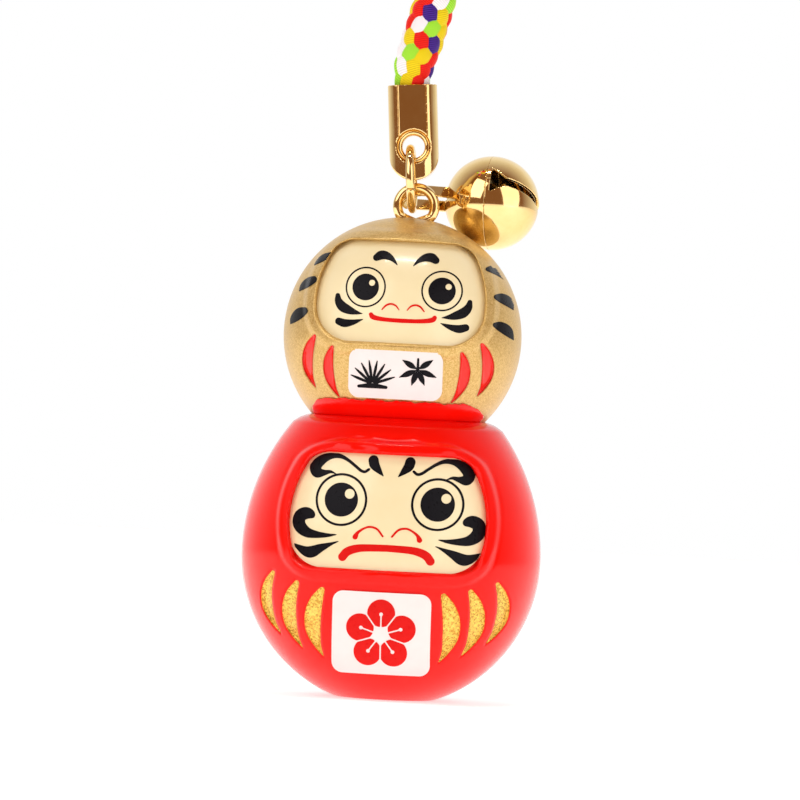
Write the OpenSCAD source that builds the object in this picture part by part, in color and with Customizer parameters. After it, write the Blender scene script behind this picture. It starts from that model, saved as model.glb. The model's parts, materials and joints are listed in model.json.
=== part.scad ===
// Hanging daruma charm: a gold doll stacked on a red doll, with a jump ring, a round bell,
// a crimped cord end and a braided strap with a thin hanging loop.
// The origin is the centre of the flat base. +Z is up and the faces look along -Y.

/* [Lower doll] */
// Radius of the lower doll at its widest
lower_r = 14.2; // [11:0.1:17]
// Height of the lower doll's widest level
lower_z = 13.4; // [10.5:0.1:16]
// Radius of the arc that rounds the shoulders in to the neck
shoulder_r = 20.4; // [17:0.1:26]
// Height of the seat between the two dolls
neck_z = 28; // [24:0.1:32]
// Radius at which the rolled collar runs
collar_r = 8.3; // [7:0.1:9.5]
// Radius of the collar's rounded section
collar_bead = 1; // [0.5:0.05:1.2]

/* [Upper doll] */
// Radius of the upper doll's round head
head_r = 11.3; // [9.5:0.1:13.5]
// Height of the head's centre above the neck seat
head_rise = 6.4; // [4:0.1:7.5]
// Radius of the spigot under the head
spigot_r = 4; // [3:0.1:6]
// Length of the spigot
spigot_len = 5; // [3:0.1:7]
// Radial clearance of the spigot in its socket
spigot_gap = 0.04; // [0.02:0.01:0.1]

/* [Faces and plaques] */
// Width of the lower face
lower_face_w = 18.4; // [15:0.1:21]
// Height of the lower face
lower_face_h = 10.8; // [9:0.1:12]
// Height of the lower face's centre
lower_face_z = 17.8; // [16.5:0.1:19]
// Width of the upper face
upper_face_w = 15.8; // [13:0.1:17.5]
// Height of the upper face
upper_face_h = 9.6; // [8:0.1:10.4]
// Height of the upper face's centre above the neck seat
upper_face_rise = 10.4; // [9:0.1:11.5]
// Corner radius of the faces
face_corner = 3.4; // [2:0.1:4]
// Depth of the face pockets under the casting's surface
pocket_depth = 0.8; // [0.5:0.05:1.2]
// How far the cream face lies under the casting's surface
face_sink = 0.3; // [0.1:0.05:0.45]
// Width of the rolled hood rim round each face
hood_w = 0.9; // [0.5:0.05:1.3]
// How far the hood rim stands proud
hood_rise = 0.3; // [0.1:0.05:0.5]
// Width of the lower plaque
lower_plaque_w = 9.2; // [7:0.1:11]
// Height of the lower plaque
lower_plaque_h = 7.8; // [6:0.1:8.2]
// Height of the lower plaque's centre
lower_plaque_z = 6.5; // [6:0.1:7]
// Width of the upper plaque
upper_plaque_w = 8.8; // [7:0.1:10]
// Height of the upper plaque
upper_plaque_h = 4.6; // [3.6:0.1:5]
// Height of the upper plaque's centre above the neck seat
upper_plaque_rise = 2.7; // [2.6:0.05:3]
// Corner radius of the plaques
plaque_corner = 1; // [0.4:0.05:1.5]
// How far the plaques stand proud
plaque_rise = 0.3; // [0.1:0.05:0.5]

/* [Stripes] */
// Length of a stripe on the lower doll
lower_stripe_h = 6.2; // [4.5:0.1:7]
// Width of a stripe on the lower doll
lower_stripe_w = 1.4; // [0.8:0.05:1.7]
// Angle round the lower doll from the front to its innermost stripe
lower_stripe_first = 27; // [25:0.5:30]
// Angle from one stripe to the next on the lower doll
lower_stripe_pitch = 12.5; // [10:0.5:13]
// Length of a stripe on the upper doll
upper_stripe_h = 4.6; // [3.2:0.1:5]
// Width of a stripe on the upper doll
upper_stripe_w = 1.2; // [0.6:0.05:1.4]
// Angle round the upper doll from the front to its inner stripe
upper_stripe_first = 33; // [31:0.5:36]
// Angle from one stripe to the next on the upper doll
upper_stripe_pitch = 14; // [12:0.5:16]
// Depth of the stripe recesses
stripe_depth = 0.6; // [0.4:0.05:0.9]
// How far the paint lies under the casting's surface
stripe_sink = 0.25; // [0.05:0.05:0.3]

/* [Screw eye] */
// Radius of the wire of the screw eye
eye_wire = 0.46; // [0.3:0.02:0.55]
// Radius at which the eye's loop runs
eye_loop_r = 1.76; // [1.5:0.02:2.1]
// Radius of the shank in the head
shank_r = 0.6; // [0.4:0.02:0.8]
// Length of the shank under the loop
shank_len = 5; // [3:0.1:7]
// Distance of the eye from the doll's axis
eye_x = 0.65; // [0:0.05:1]
// Depth to which the eye's loop is sunk in the head
eye_sink = 1.1; // [0.9:0.05:1.2]
// Clearance round the glued shank and loop
glue_gap = 0.02; // [0.01:0.01:0.05]

/* [Jump ring] */
// Radius of the wire of the jump ring
ring_wire = 0.42; // [0.3:0.02:0.46]
// Radius at which the jump ring runs
ring_r = 2.88; // [2.7:0.02:3.2]
// Lean of the jump ring and the cord end from upright
hang_lean = 4.5; // [0:0.1:6]

/* [Cord end] */
// Width of the cord end
ferrule_w = 4.7; // [4.5:0.05:5.6]
// Depth of the cord end from front to back
ferrule_d = 3.6; // [3.2:0.05:4.2]
// Height of the cord end above the eyelet's centre
ferrule_up = 5.9; // [5:0.05:7]
// Radius of the hole through the eyelet
eyelet_r = 1.06; // [0.98:0.01:1.2]
// Width of the pressed channel
channel_w = 2.7; // [2:0.05:3]
// Depth of the pressed channel
channel_d = 0.5; // [0.3:0.05:0.6]
// Radius of the pocket round the eyelet
eyelet_pocket_r = 1.62; // [1.5:0.02:1.8]
// Thickness left at the eyelet
eyelet_t = 1.8; // [1.2:0.05:2]
// Wall of the cord end
ferrule_wall = 0.35; // [0.25:0.05:0.45]

/* [Bell] */
// Outer radius of the bell
bell_r = 4.5; // [3.6:0.05:4.6]
// Wall of the bell
bell_wall = 0.35; // [0.25:0.05:0.6]
// Width of the sound slit
slit_w = 0.8; // [0.5:0.05:1.2]
// Width of the slit's flared ends
flare_w = 2.6; // [1.6:0.1:3]
// Length of the flares along the axis
flare_l = 2.2; // [1.4:0.1:3]
// Width of the whole band left between the slit and the seam
seam_band = 0.4; // [0.3:0.05:0.8]
// Turn of the slit about the bell's axis
slit_turn = 30; // [0:1:60]
// Radius of the clapper ball
clapper_r = 1.5; // [1:0.05:2]
// Inside width of the lug
lug_gap = 2.3; // [2:0.05:2.4]
// Thickness of the lug's strip
lug_t = 0.3; // [0.2:0.02:0.4]
// Width of the lug's strip
lug_w = 1.1; // [0.9:0.05:1.6]

/* [Strap] */
// Radius of the braided cord
braid_r = 2.05; // [1.8:0.05:2.2]
// Radius of the loop's thin cord
loop_r = 0.6; // [0.4:0.02:0.62]
// Outer radius of the thread winding
whip_r = 2.35; // [2.3:0.05:2.8]
// Length of the thread winding
whip_len = 6; // [5.6:0.1:8]
// Clearance between a cord and what grips it
cord_gap = 0.03; // [0.01:0.01:0.05]

/* [Hidden] */
$fn = 96;

// Length of every cutting prism; it reaches from the front past the middle of the dolls
reach = 40;
head_z = neck_z + head_rise;
// Heights of the middles of the innermost stripes
lower_stripe_lift = 0.7;
lower_stripe_z = lower_plaque_z + lower_stripe_lift;
upper_stripe_z = neck_z + upper_plaque_rise;
// Each outer stripe sits this much higher than its inner neighbour
stripe_step = 0.8;
// How far a stripe's inner edge bows, as a share of its length
stripe_bend = 0.05;

// The eye's loop is centred where it is sunk in the top of the head
head_top = head_z + sqrt(pow(head_r, 2) - pow(eye_x, 2));
eye_z = head_top - eye_sink + eye_wire + eye_loop_r;

// The ring's lower wire passes through the eye; the ring leans back from there
ring_from_eye = [-0.36, 0, -0.29];
ring_low = [eye_x, 0, eye_z] + ring_from_eye;
ring_up = [-sin(hang_lean), 0, cos(hang_lean)];
ring_mid = ring_low + ring_r * ring_up;
ring_high = ring_low + 2 * ring_r * ring_up;
// Centre of the cord end's eyelet, from the ring's upper wire
eyelet_from_ring = [0.3, 0, 0.15];
eyelet = ring_high + eyelet_from_ring;

// The lug grips the ring behind the eye, this far round from the ring's lowest point
lug_turn = 55;
hook = ring_mid + ring_r * (sin(lug_turn) * [0, 1, 0] - cos(lug_turn) * ring_up);
// Centre of the bell, from the place where the lug grips the ring
bell_from_hook = [7.45, 2.64, -0.13];
bell_mid = hook + bell_from_hook;
bell_yaw = -8;
lug_yaw = 37;
lug_roll = -29;
// Centre of the lug's round end, and the lug's length, from the ring's wire
lug_shift = 0.26;
lug_len = 4.9;
// Clearance under the clapper where it lies in the bell
clapper_gap = 0.05;

// The centre of the cord end's round chin under the eyelet
chin_z = -0.85;
// Half thickness of the cord's flat tail in the cord end, and where the tail stops
tail_t = ferrule_d / 2 - channel_d - ferrule_wall;
tail_floor = 1.95;

// Points along the middle of the braided cord, from inside the cord end upwards
braid_route = [[0, 0, 54.4], [-0.2, 0, 56.4], [-0.35, 0, 58.6], [-0.15, 0, 60.4], [0.4, 0, 62.5],
               [1.05, 0, 65], [1.7, 0, 67.5], [2.2, 0, 70], [2.5, 0, 72.5], [2.6, 0, 75],
               [2.5, 0, 77.5], [2.2, 0, 80], [1.8, 0, 82.5], [1.5, 0, 85], [1.3, 0, 87.5],
               [1.3, 0, 90]];
// Points along the thin loop, from inside the winding up, round and back down
loop_route = [[0.65, 0, 91.4], [0.65, 0, 93.4], [0.5, 0, 96], [0, 0, 100], [-0.6, 0, 105],
              [-1.1, 0, 110], [-1.5, 0, 115], [-1.7, 0, 120], [-1.6, 0, 124], [-1.1, 0, 127.2],
              [-0.1, 0, 129.4], [1.3, 0, 130.2], [2.7, 0, 129.4], [3.7, 0, 127.2], [4.2, 0, 124],
              [4.3, 0, 120], [4.1, 0, 115], [3.7, 0, 110], [3.2, 0, 105], [2.6, 0, 100],
              [2.1, 0, 96], [1.95, 0, 93.4], [1.95, 0, 91.4]];
whip_x = braid_route[len(braid_route) - 1][0];
whip_z = 87.4;
braid_top = braid_route[len(braid_route) - 1][2];
loop_foot = loop_route[0][2];
loop_half = whip_x - loop_route[0][0];

// ---------- Shapes shared by the two dolls ----------

// The red doll's outer form, drawn in by off all over and cut flat at the base
module lower_form(off = 0) {
    rotate_extrude() {
        intersection() {
            translate([0, lower_z]) circle(lower_r - off);
            square([lower_r + 1, lower_z]);
        }
        intersection() {
            translate([lower_r - shoulder_r, lower_z]) circle(shoulder_r - off);
            translate([0, lower_z]) square([lower_r + 1, neck_z - collar_bead - lower_z]);
        }
    }
}

// The gold doll's outer form, drawn in by off all over and cut flat at the neck
module upper_form(off = 0) {
    intersection() {
        translate([0, 0, head_z]) sphere(head_r - off);
        translate([0, 0, neck_z + reach / 2]) cube(reach, center = true);
    }
}

// A rounded rectangle made of straight sides and round corners
module rounded_outline(w, h, r) {
    square([w - 2 * r, h], center = true);
    square([w, h - 2 * r], center = true);
    for (x = [-1, 1], z = [-1, 1]) translate([x * (w / 2 - r), z * (h / 2 - r)]) circle(r);
}

// A prism with the outline's shape that cuts in from the front at height z
module front_prism(z) {
    translate([0, 0, z]) rotate([90, 0, 0]) linear_extrude(reach) children();
}

// A disc whose left edge bulges by sag past a chord of height h on the Y axis
module bulge(h, sag) {
    bow = (pow(h / 2, 2) + pow(sag, 2)) / (2 * sag);
    translate([bow - sag, 0]) circle(bow);
}

// One crescent stroke, bowed towards -X, with its middle on the origin
module crescent(w, h) {
    bend = stripe_bend * h;
    translate([w / 2 + bend, 0]) difference() {
        bulge(h, w + bend);
        bulge(h, bend);
    }
}

// A row of crescents spaced round a doll of radius r: side -1 is -X and side 1 is +X
module stripe_row(side, count, r, first, pitch, w, h) {
    for (i = [0 : count - 1])
        translate([side * r * sin(first + i * pitch), i * stripe_step])
            mirror([side > 0 ? 1 : 0, 0]) crescent(w, h);
}

module lower_row(side) {
    front_prism(lower_stripe_z)
        stripe_row(side, 3, lower_r, lower_stripe_first, lower_stripe_pitch, lower_stripe_w,
                   lower_stripe_h);
}

module upper_row(side) {
    front_prism(upper_stripe_z)
        stripe_row(side, 2, head_r, upper_stripe_first, upper_stripe_pitch, upper_stripe_w,
                   upper_stripe_h);
}

module lower_face_prism(grow = 0) {
    front_prism(lower_face_z)
        rounded_outline(lower_face_w + 2 * grow, lower_face_h + 2 * grow, face_corner + grow);
}

module upper_face_prism(grow = 0) {
    front_prism(neck_z + upper_face_rise)
        rounded_outline(upper_face_w + 2 * grow, upper_face_h + 2 * grow, face_corner + grow);
}

module lower_plaque_prism() {
    front_prism(lower_plaque_z)
        rounded_outline(lower_plaque_w, lower_plaque_h, plaque_corner);
}

module upper_plaque_prism() {
    front_prism(neck_z + upper_plaque_rise)
        rounded_outline(upper_plaque_w, upper_plaque_h, plaque_corner);
}

// ---------- Red doll ----------

module lower_body() {
    color("red") difference() {
        union() {
            lower_form();
            intersection() { lower_form(-hood_rise); lower_face_prism(hood_w); }
            translate([0, 0, neck_z - collar_bead]) rotate_extrude() {
                square([collar_r, collar_bead]);
                translate([collar_r, 0]) circle(collar_bead);
            }
        }
        difference() { lower_face_prism(); lower_form(pocket_depth); }
        difference() { lower_plaque_prism(); lower_form(stripe_depth); }
        difference() {
            union() { lower_row(-1); lower_row(1); }
            lower_form(stripe_depth);
        }
        translate([0, 0, neck_z - spigot_len - spigot_gap])
            cylinder(r = spigot_r + spigot_gap, h = spigot_len + 1);
    }
}

module lower_face() {
    color("wheat") difference() {
        intersection() { lower_form(face_sink); lower_face_prism(); }
        lower_form(pocket_depth);
    }
}

module lower_plaque() {
    color("white") difference() {
        intersection() { lower_form(-plaque_rise); lower_plaque_prism(); }
        lower_form(stripe_depth);
    }
}

module lower_stripes(side) {
    color("goldenrod") difference() {
        intersection() { lower_form(stripe_sink); lower_row(side); }
        lower_form(stripe_depth);
    }
}

module lower_stripes_left() { lower_stripes(-1); }

module lower_stripes_right() { lower_stripes(1); }

// ---------- Gold doll ----------

module upper_body() {
    color("darkkhaki") difference() {
        union() {
            upper_form();
            intersection() { upper_form(-hood_rise); upper_face_prism(hood_w); }
            translate([0, 0, neck_z - spigot_len]) cylinder(r = spigot_r, h = spigot_len + 1);
        }
        difference() { upper_face_prism(); upper_form(pocket_depth); }
        difference() { upper_plaque_prism(); upper_form(stripe_depth); }
        difference() {
            union() { upper_row(-1); upper_row(1); }
            upper_form(stripe_depth);
        }
        eye_shape(glue_gap);
    }
}

module upper_face() {
    color("wheat") difference() {
        intersection() { upper_form(face_sink); upper_face_prism(); }
        upper_form(pocket_depth);
    }
}

module upper_plaque() {
    color("white") difference() {
        intersection() { upper_form(-plaque_rise); upper_plaque_prism(); }
        upper_form(stripe_depth);
    }
}

module upper_stripes(side) {
    color("red") difference() {
        intersection() { upper_form(stripe_sink); upper_row(side); }
        upper_form(stripe_depth);
    }
}

module upper_stripes_left() { upper_stripes(-1); }

module upper_stripes_right() { upper_stripes(1); }

// ---------- Screw eye and jump ring ----------

// The eye's wire loop and shank, grown by gap for the seat that it is glued in
module eye_shape(gap = 0) {
    translate([eye_x, 0, eye_z]) {
        rotate([90, 0, 0]) rotate_extrude() translate([eye_loop_r, 0]) circle(eye_wire + gap);
        translate([0, 0, -eye_loop_r - shank_len - gap])
            cylinder(r = shank_r + gap, h = shank_len + gap);
    }
}

module screw_eye() {
    color("gold") eye_shape();
}

module jump_ring() {
    color("gold") translate(ring_mid) rotate([0, -hang_lean, 0]) rotate([0, 90, 0])
        rotate_extrude() translate([ring_r, 0]) circle(ring_wire);
}

// ---------- Bell ----------

// The bell's own frame: the lug side is -X and the slit's pole is +X
module at_bell() {
    translate(bell_mid) rotate([0, 0, bell_yaw]) children();
}

// One hemispherical half, domed towards side: -1 is the lug side and 1 is the slit side
module bell_half(side) {
    rotate([0, side * 90, 0]) rotate_extrude() intersection() {
        difference() {
            circle(bell_r);
            circle(bell_r - bell_wall);
        }
        square(bell_r + 1);
    }
}

// The sound slit: a narrow slot across the pole that flares at its two ends
module slit_cut() {
    rotate([-slit_turn, 0, 0]) rotate([90, 0, 0]) linear_extrude(2 * bell_r + 2, center = true) {
        translate([seam_band, -slit_w / 2]) square([bell_r, slit_w]);
        translate([seam_band, 0])
            polygon([[0, -flare_w / 2], [flare_l, 0], [0, flare_w / 2]]);
    }
}

// One jaw of the slit half: side 1 is above the slit and side -1 is below it
module bell_jaw(side) {
    half = bell_r + 1;
    color("gold") at_bell() intersection() {
        difference() {
            bell_half(1);
            slit_cut();
        }
        rotate([-slit_turn, 0, 0]) translate([-half, -half, side > 0 ? 0 : -half])
            cube([2 * half, 2 * half, half]);
    }
}

module bell_upper_jaw() {
    bell_jaw(1);
}

module bell_lower_jaw() {
    bell_jaw(-1);
}

module bell_back_half() {
    color("gold") difference() {
        at_bell() bell_half(-1);
        at_lug() lug_blank(cord_gap);
    }
}

// The lug's own frame: the ring's wire crosses it at the origin and the bell is along +X
module at_lug() {
    translate(hook) rotate([0, 0, lug_yaw]) rotate([lug_roll, 0, 0]) children();
}

// The lug's solid outline, which the slot in the bell follows
module lug_blank(gap = 0) {
    half = lug_gap / 2 + lug_t + gap;
    translate([0, 0, -lug_w / 2 - gap]) {
        translate([lug_shift, 0, 0]) cylinder(r = half, h = lug_w + 2 * gap);
        translate([lug_shift, -half, 0])
            cube([lug_len - lug_shift, 2 * half, lug_w + 2 * gap]);
    }
}

module bell_lug() {
    color("gold") at_lug() difference() {
        lug_blank();
        translate([lug_shift, 0, -lug_w]) cylinder(r = lug_gap / 2, h = 2 * lug_w);
        translate([lug_shift, -lug_gap / 2, -lug_w])
            cube([lug_len - lug_t - lug_shift, lug_gap, 2 * lug_w]);
    }
}

module bell_clapper() {
    color("gray") translate(bell_mid - [0, 0, bell_r - bell_wall - clapper_r - clapper_gap])
        sphere(clapper_r);
}

// ---------- Cord end ----------

// The cord end's own frame: the eyelet is at the origin and the cord leaves along +Z
module at_ferrule() {
    translate(eyelet) rotate([0, -hang_lean, 0]) children();
}

module ferrule() {
    color("gold") at_ferrule() difference() {
        intersection() {
            translate([0, 0, -ferrule_w]) {
                for (x = [-1, 1]) translate([x * (ferrule_w - ferrule_d) / 2, 0, 0])
                    cylinder(d = ferrule_d, h = ferrule_w + ferrule_up);
                translate([-(ferrule_w - ferrule_d) / 2, -ferrule_d / 2, 0])
                    cube([ferrule_w - ferrule_d, ferrule_d, ferrule_w + ferrule_up]);
            }
            rotate([90, 0, 0]) linear_extrude(ferrule_d + 1, center = true) {
                translate([0, chin_z]) circle(d = ferrule_w);
                translate([-ferrule_w / 2, chin_z]) square([ferrule_w, ferrule_up - chin_z]);
            }
        }
        for (side = [-1, 1]) {
            translate([-channel_w / 2, side * (ferrule_d / 2 + 1 - channel_d) - 1, 0])
                cube([channel_w, 2, ferrule_up + 1]);
            translate([0, side * (eyelet_t / 2 + 1), 0]) rotate([90, 0, 0])
                cylinder(r = eyelet_pocket_r, h = 2, center = true);
        }
        rotate([90, 0, 0]) cylinder(r = eyelet_r, h = ferrule_d + 2, center = true);
        translate([-braid_r, -tail_t, tail_floor]) cube([2 * braid_r, 2 * tail_t, ferrule_up]);
    }
}

// ---------- Strap ----------

function unit(v) = v / norm(v);
function last(list) = len(list) - 1;
// Direction of the route at point i
function heading(route, i) =
    unit(route[min(i + 1, last(route))] - route[max(i - 1, 0)]);
// Two directions across the route at point i; the route lies in the XZ plane
function side_way(route, i) = unit(cross([0, 1, 0], heading(route, i)));

// A closed tube along a route, with half sizes across and front to back given at each point
module route_tube(route, across, deep, sides) {
    turns = [for (k = [0 : sides - 1]) 360 * (k + 0.5) / sides];
    rings = [for (i = [0 : last(route)]) for (t = turns)
        route[i] + across[i] * cos(t) * side_way(route, i) + deep[i] * sin(t) * [0, 1, 0]];
    n = len(route);
    walls = [for (i = [0 : n - 2]) for (k = [0 : sides - 1])
        let (m = (k + 1) % sides)
        [i * sides + k, (i + 1) * sides + k, (i + 1) * sides + m, i * sides + m]];
    foot = [for (k = [0 : sides - 1]) k];
    head = [for (k = [sides - 1 : -1 : 0]) (n - 1) * sides + k];
    polyhedron(points = rings, faces = concat(walls, [foot, head]), convexity = 8);
}

module braid_cord() {
    // The cord is pressed flat in the cord end and springs back to round above it
    flat = 3;
    across = [for (i = [0 : last(braid_route)]) i < flat ? braid_r - 0.15 : braid_r];
    deep = [for (i = [0 : last(braid_route)])
        i < flat ? tail_t - cord_gap : (i == flat ? braid_r * 0.85 : braid_r)];
    color("yellow") route_tube(braid_route, across, deep, 12);
}

module cord_whipping() {
    color("red") translate([whip_x, 0, whip_z]) difference() {
        cylinder(r = whip_r, h = whip_len);
        translate([0, 0, -1]) cylinder(r = braid_r + cord_gap, h = braid_top - whip_z + 1);
        for (x = [-1, 1]) translate([x * loop_half, 0, loop_foot - whip_z])
            cylinder(r = loop_r + cord_gap, h = whip_len);
    }
}

module loop_cord() {
    size = [for (p = loop_route) loop_r];
    color("red") route_tube(loop_route, size, size, 8);
}

lower_body();
upper_body();
lower_face();
upper_face();
lower_plaque();
upper_plaque();
lower_stripes_left();
lower_stripes_right();
upper_stripes_left();
upper_stripes_right();
screw_eye();
jump_ring();
bell_upper_jaw();
bell_lower_jaw();
bell_back_half();
bell_lug();
bell_clapper();
ferrule();
braid_cord();
cord_whipping();
loop_cord();
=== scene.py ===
"""Two stacked daruma dolls on a braided strap: the visual model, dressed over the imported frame."""

import json
import logging
import math
from dataclasses import dataclass, field
from enum import Enum
from typing import Any, Callable, Sequence

import bmesh
import bpy
import numpy as np
from mathutils import Matrix, Vector
from mathutils.bvhtree import BVHTree

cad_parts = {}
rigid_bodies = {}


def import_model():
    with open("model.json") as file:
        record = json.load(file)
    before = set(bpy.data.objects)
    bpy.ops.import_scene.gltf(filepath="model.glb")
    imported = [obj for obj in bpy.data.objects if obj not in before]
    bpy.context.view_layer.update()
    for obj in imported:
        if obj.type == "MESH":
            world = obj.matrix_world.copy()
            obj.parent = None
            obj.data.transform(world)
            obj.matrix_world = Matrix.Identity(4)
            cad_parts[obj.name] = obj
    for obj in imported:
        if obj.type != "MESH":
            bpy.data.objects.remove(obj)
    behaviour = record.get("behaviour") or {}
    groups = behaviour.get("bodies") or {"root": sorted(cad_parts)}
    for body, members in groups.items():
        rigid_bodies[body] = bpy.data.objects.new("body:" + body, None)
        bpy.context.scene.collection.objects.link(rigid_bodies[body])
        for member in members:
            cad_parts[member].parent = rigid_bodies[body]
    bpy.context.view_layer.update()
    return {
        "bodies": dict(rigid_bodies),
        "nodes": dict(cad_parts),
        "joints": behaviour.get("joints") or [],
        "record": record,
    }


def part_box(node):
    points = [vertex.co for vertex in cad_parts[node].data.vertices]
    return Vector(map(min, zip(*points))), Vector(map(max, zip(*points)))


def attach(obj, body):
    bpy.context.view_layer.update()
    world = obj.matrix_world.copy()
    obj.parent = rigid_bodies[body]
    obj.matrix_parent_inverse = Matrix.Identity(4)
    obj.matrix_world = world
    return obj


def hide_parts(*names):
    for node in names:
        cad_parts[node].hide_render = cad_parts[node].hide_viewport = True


LOG = logging.getLogger("daruma_charm")
MM = 0.001
Point = tuple[float, float]
Grid = np.ndarray

# Middle lines of the braided cord and of the thin loop, in millimetres: the CAD's own points
BRAID_ROUTE = ((0, 0, 54.4), (-0.2, 0, 56.4), (-0.35, 0, 58.6), (-0.15, 0, 60.4), (0.4, 0, 62.5),
               (1.05, 0, 65), (1.7, 0, 67.5), (2.2, 0, 70), (2.5, 0, 72.5), (2.6, 0, 75),
               (2.5, 0, 77.5), (2.2, 0, 80), (1.8, 0, 82.5), (1.5, 0, 85), (1.3, 0, 87.5),
               (1.3, 0, 90))
LOOP_ROUTE = ((0.65, 0, 91.4), (0.65, 0, 93.4), (0.5, 0, 96), (0, 0, 100), (-0.6, 0, 105),
              (-1.1, 0, 110), (-1.5, 0, 115), (-1.7, 0, 120), (-1.6, 0, 124), (-1.1, 0, 127.2),
              (-0.1, 0, 129.4), (1.3, 0, 130.2), (2.7, 0, 129.4), (3.7, 0, 127.2), (4.2, 0, 124),
              (4.3, 0, 120), (4.1, 0, 115), (3.7, 0, 110), (3.2, 0, 105), (2.6, 0, 100),
              (2.1, 0, 96), (1.95, 0, 93.4), (1.95, 0, 91.4))


# ---------- Colour and nodes ----------

def linear(hex_colour: str) -> tuple[float, float, float, float]:
    """Turn an sRGB hex colour into linear RGBA.

    Args:
        hex_colour: six hex digits, with or without a hash.
    Returns:
        The linear red, green, blue and an alpha of 1.
    """
    digits = hex_colour.lstrip("#")
    parts = [int(digits[i:i + 2], 16) / 255 for i in (0, 2, 4)]
    bent = [c / 12.92 if c <= 0.04045 else ((c + 0.055) / 1.055) ** 2.4 for c in parts]
    return (bent[0], bent[1], bent[2], 1.0)


def add(tree: bpy.types.NodeTree, kind: str, ins: dict[Any, Any] | None = None,
        **settings: Any) -> bpy.types.Node:
    """Add one node with its settings, values and links.

    Args:
        tree: the tree that takes the node.
        kind: the node's type name.
        ins: input name or index to a value, or to the socket that feeds it.
        settings: properties set on the node before its inputs.
    Returns:
        The new node.
    """
    node = tree.nodes.new(kind)
    for name, value in settings.items():
        setattr(node, name, value)
    for key, value in (ins or {}).items():
        socket = node.inputs[key]
        if isinstance(value, bpy.types.NodeSocket):
            tree.links.new(value, socket)
        else:
            socket.default_value = value
    return node


class Grain(Enum):
    """What breaks up a finish's surface."""

    CLOUD = "cloud"
    FLAKE = "flake"
    RIB = "rib"


@dataclass(frozen=True)
class Finish:
    """One real finish: its two nearest colours, its grain and its gloss."""

    name: str
    low: str
    high: str
    rough: float
    rough_spread: float = 0.05
    grain: Grain = Grain.CLOUD
    grain_mm: float = 1.0
    relief_mm: float = 0.0
    wave_mm: float = 6.0
    wave_relief_mm: float = 0.0
    metallic: float = 0.0
    ior: float | None = 1.5
    coat: float = 0.0
    coat_rough: float = 0.05
    sheen: float = 0.0
    glow: float = 0.0

    def material(self) -> bpy.types.Material:
        """Build the node material, or return it if it is built already."""
        made = bpy.data.materials.get(self.name)
        if made:
            return made
        mat = bpy.data.materials.new(self.name)
        mat.use_nodes = True
        tree = mat.node_tree
        tree.nodes.clear()
        place = add(tree, "ShaderNodeTexCoord").outputs["Object"]
        cloud = add(tree, "ShaderNodeTexNoise", {"Vector": place, "Scale": 1000 / self.grain_mm,
                                                "Detail": 3.0, "Roughness": 0.6})
        if self.grain is Grain.FLAKE:
            chip = add(tree, "ShaderNodeTexVoronoi", {"Vector": place,
                                                      "Scale": 1000 / self.grain_mm})
            factor = add(tree, "ShaderNodeSeparateColor", {0: chip.outputs["Color"]}).outputs[0]
        elif self.grain is Grain.RIB:
            # Ribs: the colour runs from low between the ribs to high on their tops, which paints
            # shade into the grooves and light onto the ribs
            along = add(tree, "ShaderNodeAttribute", attribute_name="along")
            rib = add(tree, "ShaderNodeMath", {0: along.outputs["Fac"],
                                               1: 2 * math.pi * 1000 / self.grain_mm},
                      operation="MULTIPLY")
            wave = add(tree, "ShaderNodeMath", {0: rib.outputs[0]}, operation="SINE")
            factor = add(tree, "ShaderNodeMapRange", {"Value": wave.outputs[0], "From Min": -1.0,
                                                      "From Max": 1.0}).outputs[0]
        else:
            factor = cloud.outputs[0]
        tint = add(tree, "ShaderNodeMix", {0: factor, 6: linear(self.low), 7: linear(self.high)},
                   data_type="RGBA")
        gloss = add(tree, "ShaderNodeMapRange",
                    {"Value": factor, "From Min": 0.2, "From Max": 0.8,
                     "To Min": max(0.02, self.rough - self.rough_spread),
                     "To Max": self.rough + self.rough_spread})
        normal = None
        if self.wave_relief_mm:
            swell = add(tree, "ShaderNodeTexNoise", {"Vector": place, "Detail": 1.0,
                                                    "Scale": 1000 / self.wave_mm})
            normal = add(tree, "ShaderNodeBump", {"Height": swell.outputs[0], "Strength": 1.0,
                                                  "Distance": self.wave_relief_mm * MM}).outputs[0]
        if self.relief_mm:
            ins: dict[Any, Any] = {"Height": factor, "Strength": 1.0,
                                   "Distance": self.relief_mm * MM}
            if normal is not None:
                ins["Normal"] = normal
            normal = add(tree, "ShaderNodeBump", ins).outputs[0]
        ins = {"Base Color": tint.outputs[2], "Roughness": gloss.outputs[0],
               "Metallic": self.metallic, "Coat Weight": self.coat,
               "Coat Roughness": self.coat_rough, "Sheen Weight": self.sheen}
        if self.glow:
            ins["Emission Color"], ins["Emission Strength"] = linear(self.high), self.glow
        if self.ior is not None:
            ins["IOR"] = self.ior
        if normal is not None:
            ins["Normal"] = normal
        shader = add(tree, "ShaderNodeBsdfPrincipled", ins)
        add(tree, "ShaderNodeOutputMaterial", {"Surface": shader.outputs[0]})
        mat.diffuse_color = linear(self.high)
        return mat


# Thick red lacquer over cast resin, dipped: mirror gloss with slow waves where it pooled
RED_LACQUER = Finish("red_lacquer_dipped", "EC0A02", "F41206", 0.1, 0.03, grain_mm=5.0,
                     wave_mm=5.0, wave_relief_mm=0.03, ior=1.28, coat=0.06, coat_rough=0.03)
# Sprayed gold paint with fine metal flake: satin, with a sparkle at about 0.1 mm
GOLD_PAINT = Finish("gold_flake_paint_sprayed", "C09A50", "DDBE7C", 0.36, 0.06,
                    grain=Grain.FLAKE, grain_mm=0.11, relief_mm=0.0015, wave_mm=3.0,
                    wave_relief_mm=0.02, metallic=0.6, ior=None)
# Cream enamel poured into the faces: smooth, a little soft in its gloss
CREAM_ENAMEL = Finish("cream_enamel_poured", "EADCAC", "F1E5BD", 0.24, 0.05, grain_mm=3.0,
                      wave_mm=4.0, wave_relief_mm=0.01, coat=0.25, coat_rough=0.1)
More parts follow.
